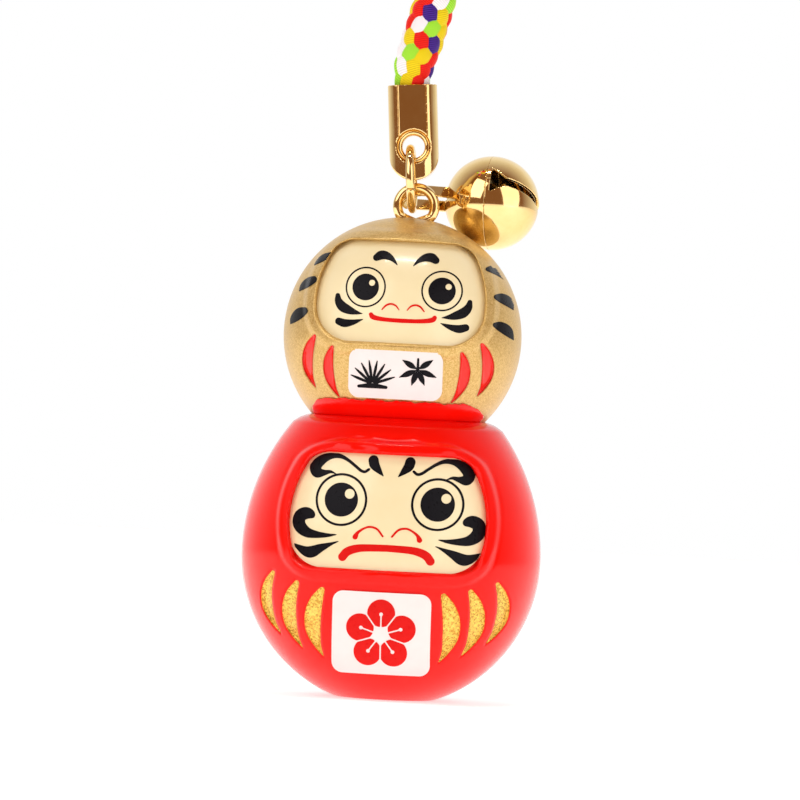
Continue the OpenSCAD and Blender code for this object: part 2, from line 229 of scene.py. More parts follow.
# White enamel on the plaques, brushed by hand: glossy and slightly uneven
WHITE_ENAMEL = Finish("white_enamel_brushed", "E3DCDA", "EDE7E5", 0.16, 0.05, grain_mm=1.5,
                      wave_mm=1.6, wave_relief_mm=0.02, coat=0.3)
# Coarse gold glitter paint run into the grooves: bright specks beside ochre ones
GOLD_GLITTER = Finish("gold_glitter_fill", "C28C1E", "FADF70", 0.34, 0.12, grain=Grain.FLAKE,
                      grain_mm=0.15, relief_mm=0.008, metallic=0.55, ior=None)
# Red enamel brushed into the gold doll's grooves
RED_ENAMEL = Finish("red_enamel_brushed", "E0180F", "F4281C", 0.16, 0.05, grain_mm=1.0,
                    wave_mm=0.8, wave_relief_mm=0.03, ior=1.38, coat=0.1)
# Printed inks: thin, a touch duller than the enamel under them
BLACK_INK = Finish("black_ink_printed", "0C0C10", "17161B", 0.3, 0.08, grain_mm=0.5,
                   relief_mm=0.001, ior=1.16)
RED_INK = Finish("red_ink_printed", "CC1412", "DC1E1A", 0.3, 0.06, grain_mm=0.5,
                 relief_mm=0.001, ior=1.16)
# Bright pale gold plating on brass wire and pressed sheet: a mirror with faint ripples
GOLD_PLATE = Finish("gold_plating_bright", "E9C37A", "F6DDA2", 0.08, 0.03, grain_mm=2.0,
                    wave_mm=2.2, wave_relief_mm=0.014, metallic=1.0, ior=None)
# Plain steel ball inside the bell
BALL_STEEL = Finish("steel_ball_tumbled", "8E8E90", "A6A6A8", 0.3, 0.06, grain_mm=0.6,
                    relief_mm=0.004, metallic=1.0, ior=None)
# Thin red strap cord, plied: soft sheen
RED_CORD = Finish("red_polyester_cord", "B80F0C", "E02018", 0.55, 0.1, grain=Grain.CLOUD,
                  grain_mm=0.18, relief_mm=0.02, sheen=0.4)


def silk(name: str, low: str, high: str) -> Finish:
    """Give one colour of the braid's silky rayon: fine cross ribs 0.17 mm apart and a sheen.

    Args:
        name: the finish's name.
        low: hex colour between the ribs, darker there as painted shade.
        high: hex colour on the ribs, lighter there as painted light.
    Returns:
        The finish.
    """
    return Finish(name, low, high, 0.5, 0.08, grain=Grain.RIB, grain_mm=0.17, relief_mm=0.008,
                  ior=1.25, sheen=0.04)


# Each pair is one dyed rayon: the darker colour between the ribs is painted shade, the lighter one
# on the ribs painted light
SILK_RED = silk("rayon_red", "C80E04", "EE2010")
SILK_YELLOW = silk("rayon_yellow", "CDB008", "F0DA12")
SILK_LIME = silk("rayon_lime", "7FC81E", "AEEB45")
SILK_PURPLE = silk("rayon_purple", "2A1060", "4A2496")
SILK_WHITE = silk("rayon_white", "DCDADF", "F6F5F8")


# ---------- Mesh helpers ----------

def make_mesh(name: str, points: Any, faces: Any, finish: Finish | Sequence[Finish],
              pick: Sequence[int] | None = None) -> bpy.types.Object:
    """Make a smooth-shaded object at the origin.

    Args:
        name: the piece's name.
        points: corner places in millimetres.
        faces: corner numbers of each face, counter-clockwise from outside.
        finish: one finish, or one for each material slot.
        pick: each face's slot, where there are several.
    Returns:
        The new object, linked to the scene.
    """
    mesh = bpy.data.meshes.new(name)
    mesh.from_pydata([tuple(float(c) * MM for c in p) for p in points], [],
                     [tuple(int(i) for i in f) for f in faces])
    mesh.validate()
    for one in ([finish] if isinstance(finish, Finish) else finish):
        mesh.materials.append(one.material())
    if pick is not None:
        mesh.polygons.foreach_set("material_index", list(pick))
    mesh.polygons.foreach_set("use_smooth", [True] * len(mesh.polygons))
    mesh.update()
    obj = bpy.data.objects.new(name, mesh)
    bpy.context.scene.collection.objects.link(obj)
    return obj


def dress(node: str, frame: dict[str, Any], finish: Finish) -> None:
    """Give a kept CAD node its finish.

    Args:
        node: the CAD node's name.
        finish: the finish that it takes.
    """
    obj = frame["nodes"][node]
    obj.data.materials.clear()
    obj.data.materials.append(finish.material())


def box_of(node: str) -> tuple[np.ndarray, np.ndarray]:
    """Give a CAD node's lowest and highest corner at rest, in millimetres."""
    low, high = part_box(node)
    return np.array(low) / MM, np.array(high) / MM


def joint_of(frame: dict[str, Any], name: str) -> dict[str, Any]:
    """Find one joint of the record by its name."""
    return next(j for j in frame["record"]["behaviour"]["joints"] if j["name"] == name)


def declare(piece: bpy.types.Object, body: str, slot: str, *nodes: str) -> bpy.types.Object:
    """Say which body a piece rides and which CAD nodes it replaces.

    Args:
        piece: the finished piece.
        body: the moving body that carries it.
        slot: its material slot in the record; not used.
        nodes: the CAD nodes that it stands in for, if any.
    Returns:
        The same piece.
    """
    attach(piece, body)
    if nodes:
        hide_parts(*nodes)
    return piece


def ink_of(strokes: Sequence["Stroke"], *more: "Stroke | Eye") -> Callable[[Grid, Grid], Grid]:
    """Join strokes and eyes in one edge function."""
    shapes = (*strokes, *more)
    return lambda x, z: np.minimum.reduce([shape.edge(x, z) for shape in shapes])


def step(low: float, high: float, x: Grid) -> Grid:
    """Rise smoothly from 0 at low to 1 at high."""
    t = np.clip((x - low) / (high - low), 0, 1)
    return t * t * (3 - 2 * t)


def box_edge(x: Grid, z: Grid, mid: Point, size: Point, corner: float) -> Grid:
    """Distance outside a rounded rectangle, negative inside it.

    Args:
        x: places across, in millimetres.
        z: places up, in millimetres.
        mid: the rectangle's middle.
        size: its full width and height.
        corner: its corner radius.
    Returns:
        The signed distances.
    """
    dx = np.abs(x - mid[0]) - size[0] / 2 + corner
    dz = np.abs(z - mid[1]) - size[1] / 2 + corner
    return (np.hypot(np.maximum(dx, 0), np.maximum(dz, 0))
            + np.minimum(np.maximum(dx, dz), 0) - corner)


def spline(points: Sequence[Sequence[float]], steps: int = 8) -> np.ndarray:
    """Draw a smooth line through points.

    Args:
        points: the places and any further values carried with them.
        steps: short lines to each span.
    Returns:
        The line's points, one a row.
    """
    p = np.array(points, float)
    p = np.vstack([2 * p[0] - p[1], p, 2 * p[-1] - p[-2]])
    out = []
    for i in range(1, len(p) - 2):
        t = np.linspace(0, 1, steps, endpoint=False)[:, None]
        a, b, c, d = p[i - 1], p[i], p[i + 1], p[i + 2]
        out.append(0.5 * (2 * b + (c - a) * t + (2 * a - 5 * b + 4 * c - d) * t ** 2
                          + (3 * b - a - 3 * c + d) * t ** 3))
    out.append(p[-2][None])
    return np.vstack(out)


@dataclass(frozen=True)
class Stroke:
    """A brush stroke: a line through (x, z, half width) points, in millimetres."""

    points: tuple[tuple[float, float, float], ...]
    mirrored: bool = True

    def edge(self, x: Grid, z: Grid) -> Grid:
        """Distance outside the stroke, and its mirror image if it has one."""
        line = spline(self.points)
        best = np.full(x.shape, 99.0)
        for side in ((1, -1) if self.mirrored else (1,)):
            for a, b in zip(line[:-1], line[1:]):
                ex, ez = b[0] - a[0], b[1] - a[1]
                px, pz = side * x - a[0], z - a[1]
                t = np.clip((px * ex + pz * ez) / max(ex * ex + ez * ez, 1e-9), 0, 1)
                away = np.hypot(px - t * ex, pz - t * ez) - np.maximum(a[2] + t * (b[2] - a[2]), 0)
                best = np.minimum(best, away)
        return best


@dataclass(frozen=True)
class Eye:
    """A round printed eye: an outer line, a pupil and a bare highlight in it, mirrored."""

    x: float
    z: float
    ring: float
    line: float
    pupil: float
    glint: float
    glint_at: Point

    def edge(self, x: Grid, z: Grid) -> Grid:
        """Distance outside the ink of both eyes."""
        best = np.full(x.shape, 99.0)
        for side in (-1, 1):
            r = np.hypot(x - side * self.x, z - self.z)
            glint = self.glint - np.hypot(x - side * self.x - self.glint_at[0],
                                          z - self.z - self.glint_at[1])
            best = np.minimum(best, np.abs(r - self.ring + self.line / 2) - self.line / 2)
            best = np.minimum(best, np.maximum(r - self.pupil, glint))
        return best


def shifted(edge: Callable[[Grid, Grid], Grid], by: float) -> Callable[[Grid, Grid], Grid]:
    """Move an edge function sideways, as a print that sits a little off centre."""
    return lambda x, z: edge(x - by, z)


@dataclass
class Print:
    """A thin layer of ink laid on a front surface, cut out by an edge function."""

    name: str
    edge: Callable[[Grid, Grid], Grid]
    low: Point
    high: Point
    finish: Finish
    cell: float = 0.075
    lift: float = 0.02
    depth: float = 0.06

    def build(self, carrier: bpy.types.Object, slot: str, *nodes: str) -> bpy.types.Object:
        """Args:
            carrier: the piece or CAD node that carries the ink.
            slot: the print's material slot in the record; not used.
            nodes: the CAD nodes that it stands in for, if any.
        Returns:
            The piece, a closed thin shell.
        """
        mesh = carrier.data
        over = BVHTree.FromPolygons([v.co for v in mesh.vertices],
                                    [tuple(p.vertices) for p in mesh.polygons])
        nx = int((self.high[0] - self.low[0]) / self.cell) + 1
        nz = int((self.high[1] - self.low[1]) / self.cell) + 1
        xs = self.low[0] + self.cell * np.arange(nx)
        zs = self.low[1] + self.cell * np.arange(nz)
        gx, gz = np.meshgrid(xs, zs, indexing="ij")
        d = self.edge(gx, gz)
        d = np.where(np.abs(d) < 1e-5, 1e-5, d)
        ids: dict[Any, int] = {}
        flat: list[Point] = []

        def corner(key: Any, place: Point) -> int:
            """Number a corner once, however many cells share it."""
            if key not in ids:
                ids[key] = len(flat)
                flat.append(place)
            return ids[key]

        faces: list[list[int]] = []
        inside = d < 0
        busy = inside[:-1, :-1] | inside[1:, :-1] | inside[1:, 1:] | inside[:-1, 1:]
        for i, j in zip(*np.nonzero(busy)):
            ring = [(i, j), (i + 1, j), (i + 1, j + 1), (i, j + 1)]
            face = []
            for a, b in zip(ring, ring[1:] + ring[:1]):
                if inside[a]:
                    face.append(corner(a, (xs[a[0]], zs[a[1]])))
                if inside[a] != inside[b]:
                    t = float(d[a] / (d[a] - d[b]))
                    t = min(max(t, 0.02), 0.98)
                    if a > b:
                        t = min(max(float(d[b] / (d[b] - d[a])), 0.02), 0.98)
                        key, p, q = (b, a), b, a
                    else:
                        key, p, q = (a, b), a, b
                    face.append(corner(key, (xs[p[0]] + t * (xs[q[0]] - xs[p[0]]),
                                             zs[p[1]] + t * (zs[q[1]] - zs[p[1]]))))
            if len(face) > 2:
                faces.append(face)
        top, under, ok = [], [], []
        for x, z in flat:
            hit, normal, _, _ = over.ray_cast(Vector((x * MM, -0.05, z * MM)), Vector((0, 1, 0)))
            ok.append(hit is not None and normal.y < -0.2)
            y = hit.y / MM if hit is not None else 0.0
            top.append((x, y - self.lift, z))
            under.append((x, y + self.depth, z))
        faces = [f for f in faces if all(ok[i] for i in f)]
        count = len(flat)
        edges = {(a, b) for f in faces for a, b in zip(f, f[1:] + f[:1])}
        whole = [list(f) for f in faces]
        whole += [[i + count for i in reversed(f)] for f in faces]
        whole += [[b, a, a + count, b + count] for a, b in edges if (b, a) not in edges]
        used = sorted({i for f in whole for i in f})
        renumber = {old: new for new, old in enumerate(used)}
        points = top + under
        piece = make_mesh(self.name, [points[i] for i in used],
                          [[renumber[i] for i in f] for f in whole], self.finish)
        return declare(piece, "doll", slot, *nodes)


def revolve(name: str, outline: np.ndarray, angles: np.ndarray, finish: Finish,
            carve: Callable[[Grid, Grid, Grid, Grid], Grid] | None = None) -> bpy.types.Object:
    """Turn an outline round Z and carve its front.

    Args:
        name: the piece's name.
        outline: (radius, height) rows from the foot on the axis to the top on the axis.
        angles: azimuths from the front, in radians, round once without repeating.
        finish: its finish.
        carve: how far each point moves towards +Y, from x, y, z and the surface's slope.
    Returns:
        The piece, closed at both poles.
    """
    ring = outline[1:-1]
    tangent = np.gradient(ring, axis=0)
    tangent /= np.linalg.norm(tangent, axis=1)[:, None]
    out_r = tangent[:, 1]
    a = angles[None, :]
    x = ring[:, :1] * np.sin(a)
    y = -ring[:, :1] * np.cos(a)
    z = np.repeat(ring[:, 1:], len(angles), axis=1)
    slope = -out_r[:, None] * np.cos(a)
    if carve is not None:
        y = y + carve(x, y, z, slope)
    rows, cols = x.shape
    points = [(0, 0, outline[0][1])] + list(zip(x.ravel(), y.ravel(), z.ravel()))
    points.append((0, 0, outline[-1][1]))
    faces: list[tuple[int, ...]] = []
    for c in range(cols):
        d = (c + 1) % cols
        faces.append((0, 1 + d, 1 + c))
        faces.append((len(points) - 1, 1 + (rows - 1) * cols + c, 1 + (rows - 1) * cols + d))
        for r in range(rows - 1):
            faces.append((1 + r * cols + c, 1 + r * cols + d, 1 + (r + 1) * cols + d,
                          1 + (r + 1) * cols + c))
    return make_mesh(name, points, faces, finish)


def front_angles(dense: int, sparse: int, reach_deg: float = 78) -> np.ndarray:
    """Space azimuths closely over the front and widely round the back."""
    reach = math.radians(reach_deg)
    front = np.linspace(-reach, reach, dense)
    back = np.linspace(reach, 2 * math.pi - reach, sparse + 2)[1:-1]
    return np.concatenate([front, back])


# ---------- The two dolls ----------

@dataclass
class Inset:
    """A rounded panel on a doll's front: its middle height, size and corner radius."""

    z: float
    width: float
    height: float
    corner: float
    belly: float | None = None
    bow: float = 10.0

    @classmethod
    def of(cls, node: str, corner: float, belly: float | None = None,
           bow: float = 10.0) -> "Inset":
        """Take a panel's height and size from its CAD node's box."""
        low, high = (np.round(c, 3) for c in box_of(node))
        return cls((low[2] + high[2]) / 2, high[0] - low[0], high[2] - low[2], corner, belly, bow)

    def edge(self, x: Grid, z: Grid) -> Grid:
        """Distance outside the panel, whose sides bow out to their widest at the belly."""
        d = box_edge(x, z, (0, self.z), (self.width, self.height), self.corner)
        if self.belly is None:
            return d
        side = np.hypot(np.abs(x) - self.width / 2 + self.bow, z - self.belly) - self.bow
        flat = np.abs(z - self.z) - self.height / 2
        both = np.hypot(np.maximum(side + 1.0, 0), np.maximum(flat + 1.0, 0)) - 1.0
        return np.maximum(both + np.minimum(np.maximum(side + 1.0, flat + 1.0), 0), d)


def groove(x: float, z: float, height: float, half: float, bow: float, lean: float) -> Stroke:
    """Shape one crescent groove and its mirror image.

    Args:
        x: how far its middle is from the doll's axis, in millimetres.
        z: its middle's height.
        height: its length up the doll.
        half: half its width at the middle.
        bow: how far its middle bows outwards.
        lean: how much further in its foot is than its top.
    Returns:
        The stroke.
    """
    rows = []
    for t in (0.0, 0.18, 0.38, 0.6, 0.82, 1.0):
        out = x - bow * (2 * t - 1) ** 2 - lean * (t - 0.5)
        rows.append((out, z + height * (0.5 - t), half * (1 - abs(2 * t - 0.86) ** 2.2) + 0.02
                     if t < 1 else 0.02))
    rows[0] = (rows[0][0], rows[0][1], half * 0.35)
    return Stroke(tuple(rows))


@dataclass
class Doll:
    """What both dolls share: a turned body, carved towards its front, with enamel panels."""

    label: str
    neck_z: float
    face: Inset
    plaque: Inset
    stripes: tuple[Stroke, ...]
    eye: Eye
    carved: Point
    hood_slope: Point
    pocket_slope: float
    trench_mm: float
    trench_slope: Point
    hood_mm: float = 0.3
    pocket_mm: float = 0.55
    seat_mm: float = 0.3
    rim_wave_mm: float = 0.0

    def carve(self, x: Grid, y: Grid, z: Grid, slope: Grid) -> Grid:
        """Sink the face and grooves and raise the hood, towards the front."""
        front = (y < 0) & (slope < -0.1) & (z > self.carved[0]) & (z < self.carved[1])
        d = self.face.edge(x, z) - 0.15
        hood = self.hood_mm * step(*self.hood_slope, d) * step(-0.25, 0.05, d)
        pocket = self.pocket_mm * step(0.0, self.pocket_slope, d)
        trench = self.trench_mm * step(*self.trench_slope, ink_of(self.stripes)(x, z))
        seat = self.seat_mm * step(-0.1, -0.4, self.plaque.edge(x, z))
        rim = self.rim_wave_mm * np.sin(x * 1.9 + 1.0) * step(0.0, 0.5, d) * step(1.6, 0.9, d)
        move = (pocket + trench + seat - hood + rim) / np.clip(-slope, 0.5, 1)
        return np.where(front, move, 0)

    def dress(self, frame: dict[str, Any]) -> None:
        """Give the kept CAD nodes their finishes."""
        dress(self.label + "_face", frame, CREAM_ENAMEL)
        dress(self.label + "_plaque", frame, WHITE_ENAMEL)


@dataclass
class LowerDoll(Doll):
    """The red doll: a round tumbler body with a hooded scowling face."""

    label: str = "lower"
    radius: float = 14.2
    middle_z: float = 13.4
    shoulder: float = 20.4
    neck_z: float = 26.66
    face: Inset = field(default_factory=lambda: Inset.of("lower_face", 2.6, 16.9))
    plaque: Inset = field(default_factory=lambda: Inset.of("lower_plaque", 1.0))
    stripes: tuple[Stroke, ...] = (groove(6.5, 7.15, 6.3, 0.76, 0.95, 0.3),
                                   groove(8.8, 7.75, 6.1, 0.66, 1.0, 0.7),
                                   groove(11.1, 8.75, 5.7, 0.52, 1.0, 0.9))
    eye: Eye = Eye(4.5, 18.8, 2.46, 0.22, 1.58, 0.46, (0.76, 0.58))
    carved: Point = (0.5, 25.86)
    hood_slope: Point = (1.25, 0.75)
    pocket_slope: float = -0.28
    trench_mm: float = 0.36
    trench_slope: Point = (0.14, -0.2)
    rim_wave_mm: float = 0.05

    def outline(self) -> np.ndarray:
        """Give the casting's outline from the base to the neck."""
        foot = math.sqrt(self.radius ** 2 - self.middle_z ** 2)
        start = math.atan2(-self.middle_z, foot)
        rows = [(0.0, 0.0)] + [(r, 0.0) for r in np.linspace(0.6, foot - 0.15, 8)]
        for a in np.linspace(start + 0.012, 0, 96, endpoint=False):
            rows.append((self.radius * math.cos(a), self.middle_z + self.radius * math.sin(a)))
        back = self.radius - self.shoulder
        top = math.asin((25.85 - self.middle_z) / self.shoulder)
        for a in np.linspace(0, top, 88):
            rows.append((back + self.shoulder * math.cos(a),
                         self.middle_z + self.shoulder * math.sin(a)))
        # The shoulder rounds over into the crease under the gold doll
        rows += [tuple(p) for p in spline(((9.72, 26.03), (9.3, 26.3), (8.85, 26.5),
                                           (8.4, 26.64)), 4)]
        rows += [(r, self.neck_z) for r in np.linspace(8.0, 0.8, 8)]
        rows.append((0.0, self.neck_z))
        return np.array(rows)

    def build(self, frame: dict[str, Any]) -> list[bpy.types.Object]:
        """Make the casting and its printed face.

        Args:
        Returns:
            The pieces.
        """
        body = declare(revolve("lower_casting", self.outline(), front_angles(236, 56),
                               RED_LACQUER, self.carve), "doll", "red_gloss", "lower_body")
        fill = Print("lower_stripe_fill", ink_of(self.stripes), (-13.2, 3.0), (13.2, 12.6),
                     GOLD_GLITTER, cell=0.09, lift=0.06, depth=0.2).build(
                         body, "gold_fill", "lower_stripes_left", "lower_stripes_right")
        over = frame["nodes"]["lower_face"]
        strokes = (
            Stroke(((-5.1, 21.12, 0.03), (-5.7, 21.32, 0.14), (-6.35, 21.2, 0.28),
                    (-7.0, 21.2, 0.5), (-7.2, 21.75, 0.56), (-6.75, 22.35, 0.52),
                    (-6.1, 22.75, 0.4), (-5.4, 22.87, 0.27), (-4.7, 22.77, 0.19),
                    (-4.05, 22.45, 0.15), (-3.4, 22.0, 0.14), (-2.85, 21.6, 0.14),
                    (-2.45, 21.5, 0.13), (-2.1, 21.74, 0.13))),
            Stroke(((-1.72, 22.6, 0.48), (-1.6, 22.2, 0.46), (-1.22, 21.75, 0.3),
                    (-0.66, 21.15, 0.02))),
            Stroke(((-7.1, 17.0, 0.06), (-7.25, 17.25, 0.36), (-7.75, 17.35, 0.56),
                    (-8.3, 17.1, 0.6), (-8.45, 16.5, 0.62), (-8.15, 15.95, 0.58),
                    (-7.5, 15.55, 0.46), (-6.6, 15.42, 0.32), (-5.6, 15.42, 0.18),
                    (-4.65, 15.55, 0.02))),
            Stroke(((-8.95, 14.5, 0.03), (-8.35, 14.15, 0.24), (-7.6, 13.8, 0.46),
                    (-7.0, 13.8, 0.54), (-6.2, 14.2, 0.38), (-5.3, 14.6, 0.17),
                    (-4.45, 14.95, 0.02))),
        )
        drawn = ink_of(strokes, self.eye)

        def panel_ink(x: Grid, z: Grid) -> Grid:
            """Distance outside the black ink, kept inside the face panel."""
            return np.maximum(drawn(x, z), self.face.edge(x, z) + 0.12)

        ink = Print("lower_face_ink", shifted(panel_ink, 0.17), (-9.4, 12.2), (9.4, 23.4),
                    BLACK_INK).build(over, "cream_enamel")
        red = (
            Stroke(((-3.0, 15.42, 0.25), (-2.8, 15.8, 0.15), (-2.3, 16.2, 0.1),
                    (-1.7, 16.42, 0.1), (-1.0, 16.25, 0.1), (-0.42, 15.6, 0.09))),
            Stroke(((-4.1, 13.5, 0.4), (-3.7, 13.98, 0.4), (-3.0, 14.29, 0.38),
                    (-2.0, 14.45, 0.34), (0, 14.52, 0.32))),
        )
        lips = Print("lower_mouth_ink", shifted(ink_of(red), 0.2), (-5.0, 12.8), (5.0, 16.9),
                     RED_INK).build(over, "cream_enamel")
        badge = Print("lower_plaque_blossom", blossom_edge((0, 6.4), 2.05), (-4.4, 2.8),
                      (4.4, 10.2), RED_INK, lift=0.03).build(frame["nodes"]["lower_plaque"],
                                                             "white_enamel")
        return [body, fill, ink, lips, badge]


def blossom_edge(mid: Point, petal_at: float) -> Callable[[Grid, Grid], Grid]:
    """Draw a five-petal plum blossom with stamens.

    Args:
        mid: the flower's middle, in millimetres.
        petal_at: how far each petal's middle is from it.
    Returns:
        The flower's edge function.
    """
    def edge(x: Grid, z: Grid) -> Grid:
        """Distance outside the flower's ink."""
        dx, dz = x - mid[0], z - mid[1]
        best = np.full(x.shape, 99.0)
        for k in range(5):
            a = math.radians(90 + 72 * k)
            px, pz = petal_at * math.cos(a), petal_at * math.sin(a)
            best = np.minimum(best, np.hypot(dx - px, dz - pz) - 1.3)
        gaps = np.full(x.shape, 99.0)
        for k in range(5):
            a = math.radians(90 + 72 * k)
            along = dx * math.cos(a) + dz * math.sin(a)
            across = np.abs(-dx * math.sin(a) + dz * math.cos(a))
            stem = np.maximum(across - 0.07, np.abs(along - 1.2) - 0.6)
            tip = np.hypot(dx - 1.95 * math.cos(a), dz - 1.95 * math.sin(a)) - 0.18
            b = math.radians(126 + 72 * k)
            ray = np.abs(-dx * math.sin(b) + dz * math.cos(b))
            split = np.maximum(ray - 0.07, -(dx * math.cos(b) + dz * math.sin(b)) + 0.55)
            gaps = np.minimum.reduce([gaps, stem, tip, split])
        heart = np.abs(np.hypot(dx, dz) - 0.42) - 0.06
        return np.maximum(best, -np.minimum(gaps, heart))
    return edge


@dataclass
class UpperDoll(Doll):
    """The gold doll: a ball with a hooded smiling face, sunk a little in the red one's shoulders."""

    label: str = "upper"
    radius: float = 11.3
    middle_z: float = field(default_factory=lambda: round(box_of("upper_body")[1][2], 3) - 11.3)
    neck_z: float = 26.56
    face: Inset = field(default_factory=lambda: Inset.of("upper_face", 3.4, 37.4, 9.4))
    plaque: Inset = field(default_factory=lambda: Inset.of("upper_plaque", 1.0))
    stripes: tuple[Stroke, ...] = (groove(6.35, 30.6, 4.7, 0.46, 0.7, 0.9),
                                   groove(8.5, 31.5, 4.8, 0.5, 0.75, 0.3))
    eye: Eye = Eye(3.58, 38.75, 1.92, 0.15, 1.26, 0.29, (0.58, 0.42))
    carved: Point = (26.61, 99.0)
    hood_slope: Point = (1.3, 0.7)
    pocket_slope: float = -0.26
    trench_mm: float = 0.32
    trench_slope: Point = (0.12, -0.16)

    def outline(self) -> np.ndarray:
        """Give the casting's outline from the neck to the crown."""
        foot_h = self.neck_z - self.middle_z
        foot = math.sqrt(self.radius ** 2 - foot_h ** 2)
        start = math.atan2(foot_h, foot)
        rows = [(0.0, self.neck_z)] + [(r, self.neck_z) for r in np.linspace(0.8, foot - 0.2, 8)]
        for a in np.linspace(start + 0.01, math.pi / 2 - 0.006, 168):
            rows.append((self.radius * math.cos(a), self.middle_z + self.radius * math.sin(a)))
        rows.append((0.0, self.middle_z + self.radius))
        return np.array(rows)

    def build(self, frame: dict[str, Any]) -> list[bpy.types.Object]:
        """Make the casting, its printed face and its painted side strokes.

        Args:
        Returns:
            The pieces.
        """
        body = declare(revolve("upper_casting", self.outline(), front_angles(240, 56),
                               GOLD_PAINT, self.carve), "doll", "gold_paint", "upper_body")
        lap = Print("collar_brushed_lap", self._lap_edge, (-8.3, 26.5), (8.3, 28.6), RED_LACQUER,
                    lift=0.2, depth=0.3).build(body, "red_gloss")
        fill = Print("upper_stripe_fill", ink_of(self.stripes), (-10.4, 27.9), (10.4, 34.5),
                     RED_ENAMEL, cell=0.08, lift=0.08, depth=0.2).build(
                         body, "red_fill", "upper_stripes_left", "upper_stripes_right")
        over = frame["nodes"]["upper_face"]
        strokes = (
            Stroke(((-2.78, 41.6, 0.34), (-2.35, 41.84, 0.44), (-1.8, 41.8, 0.36),
                    (-1.2, 41.45, 0.2), (-0.72, 40.92, 0.02))),
            Stroke(((-6.2, 37.85, 0.22), (-6.08, 37.3, 0.36), (-5.65, 36.8, 0.46),
                    (-5.0, 36.5, 0.38), (-4.4, 36.33, 0.22), (-3.7, 36.22, 0.02))),
            Stroke(((-5.95, 35.42, 0.34), (-5.4, 35.27, 0.38), (-4.8, 35.33, 0.3),
                    (-4.2, 35.5, 0.18), (-3.6, 35.72, 0.02))),
        )
        ink = Print("upper_face_ink", shifted(ink_of(strokes, self.eye), 0.33), (-7.2, 34.4),
                    (7.2, 42.9), BLACK_INK, cell=0.065).build(over, "cream_enamel")
        red = (
            Stroke(((-1.98, 36.7, 0.06), (-1.6, 37.12, 0.09), (-1.15, 37.27, 0.09),
                    (-0.7, 37.12, 0.08), (-0.38, 36.75, 0.05))),
            Stroke(((-2.98, 36.2, 0.2), (-2.8, 35.98, 0.24), (-2.2, 35.84, 0.21),
                    (-1.2, 35.76, 0.19), (0, 35.74, 0.2))),
        )
        lips = Print("upper_mouth_ink", shifted(ink_of(red), 0.42), (-3.9, 35.2), (3.9, 37.7),
                     RED_INK, cell=0.06).build(over, "cream_enamel")
        sides = (
            Stroke(((-8.5, 40.62, 0.03), (-8.05, 41.07, 0.26), (-7.5, 41.44, 0.34),
                    (-6.85, 41.7, 0.24)), False),
            Stroke(((-9.8, 38.1, 0.03), (-9.4, 38.62, 0.34), (-8.9, 38.98, 0.46),
                    (-8.35, 39.25, 0.34)), False),
            Stroke(((-10.45, 35.0, 0.05), (-10.1, 35.52, 0.4), (-9.6, 35.98, 0.54),
                    (-9.05, 36.25, 0.36)), False),
            Stroke(((7.95, 41.1, 0.22), (8.45, 41.12, 0.4), (9.0, 40.85, 0.36),
                    (9.6, 40.15, 0.03)), False),
            Stroke(((8.95, 38.5, 0.26), (9.45, 38.42, 0.46), (10.0, 38.1, 0.42),
                    (10.5, 37.4, 0.03)), False),
            Stroke(((9.0, 35.85, 0.24), (9.5, 35.72, 0.46), (10.1, 35.35, 0.46),
                    (10.68, 34.55, 0.04)), False),
        )
        tiger = Print("upper_side_strokes", ink_of(sides), (-10.95, 34.0), (10.95, 42.4),
                      BLACK_INK, depth=0.2, lift=0.05).build(body, "gold_paint")
        sprig = Print("upper_plaque_sprigs", sprig_edge(self.plaque.z), (-4.2, 28.6), (4.2, 32.8),
                      BLACK_INK, cell=0.06, lift=0.03).build(frame["nodes"]["upper_plaque"],
                                                             "white_enamel")
        return [body, lap, fill, ink, lips, tiger, sprig]

    def _lap_edge(self, x: Grid, z: Grid) -> Grid:
        """Distance outside the uneven edge of red lacquer brushed over the gold foot."""
        reach = np.abs(x - 0.1)
        top = (28.2 - 0.85 * np.clip((reach - 6.3) / 1.75, 0, 1) ** 3 + 0.06 * np.sin(2.3 * x)
               + 0.04 * np.sin(4.9 * x + 1) + 0.03 * np.sin(9.1 * x))
        return np.maximum.reduce([z - top, 26.6 - z, reach - 8.1])


def sprig_edge(mid_z: float) -> Callable[[Grid, Grid], Grid]:
    """Draw a pine fan beside a cluster of bamboo leaves.

    Args:
        mid_z: height of the plaque's middle.
    Returns:
        The drawing's edge function.
    """
    strokes = []
    for deg in range(20, 161, 20):
        a = math.radians(deg)
        strokes.append(Stroke(((-2.1 + 0.25 * math.cos(a), mid_z - 1.0 + 0.25 * math.sin(a), 0.1),
                               (-2.1 + 1.4 * math.cos(a), mid_z - 1.0 + 1.4 * math.sin(a), 0.13),
                               (-2.1 + 2.2 * math.cos(a), mid_z - 1.0 + 2.2 * math.sin(a), 0.05)),
                              False))
    strokes.append(Stroke(((-3.4, mid_z - 1.25, 0.14), (-2.1, mid_z - 1.15, 0.24),
                           (-0.8, mid_z - 1.25, 0.14)), False))
    for deg, reach in ((150, 1.7), (205, 1.9), (250, 1.6), (295, 1.6), (340, 1.9), (35, 1.7)):
        a = math.radians(deg)
        x, z = 2.1, mid_z + 0.55
        strokes.append(Stroke(((x + 0.15 * math.cos(a), z + 0.15 * math.sin(a), 0.04),
                               (x + 0.5 * reach * math.cos(a), z + 0.5 * reach * math.sin(a), 0.27),
                               (x + reach * math.cos(a), z + reach * math.sin(a), 0.02)), False))
    strokes.append(Stroke(((2.1, mid_z + 1.55, 0.1), (2.1, mid_z + 0.5, 0.13)), False))
    return ink_of(strokes)


# ---------- Metal fittings ----------

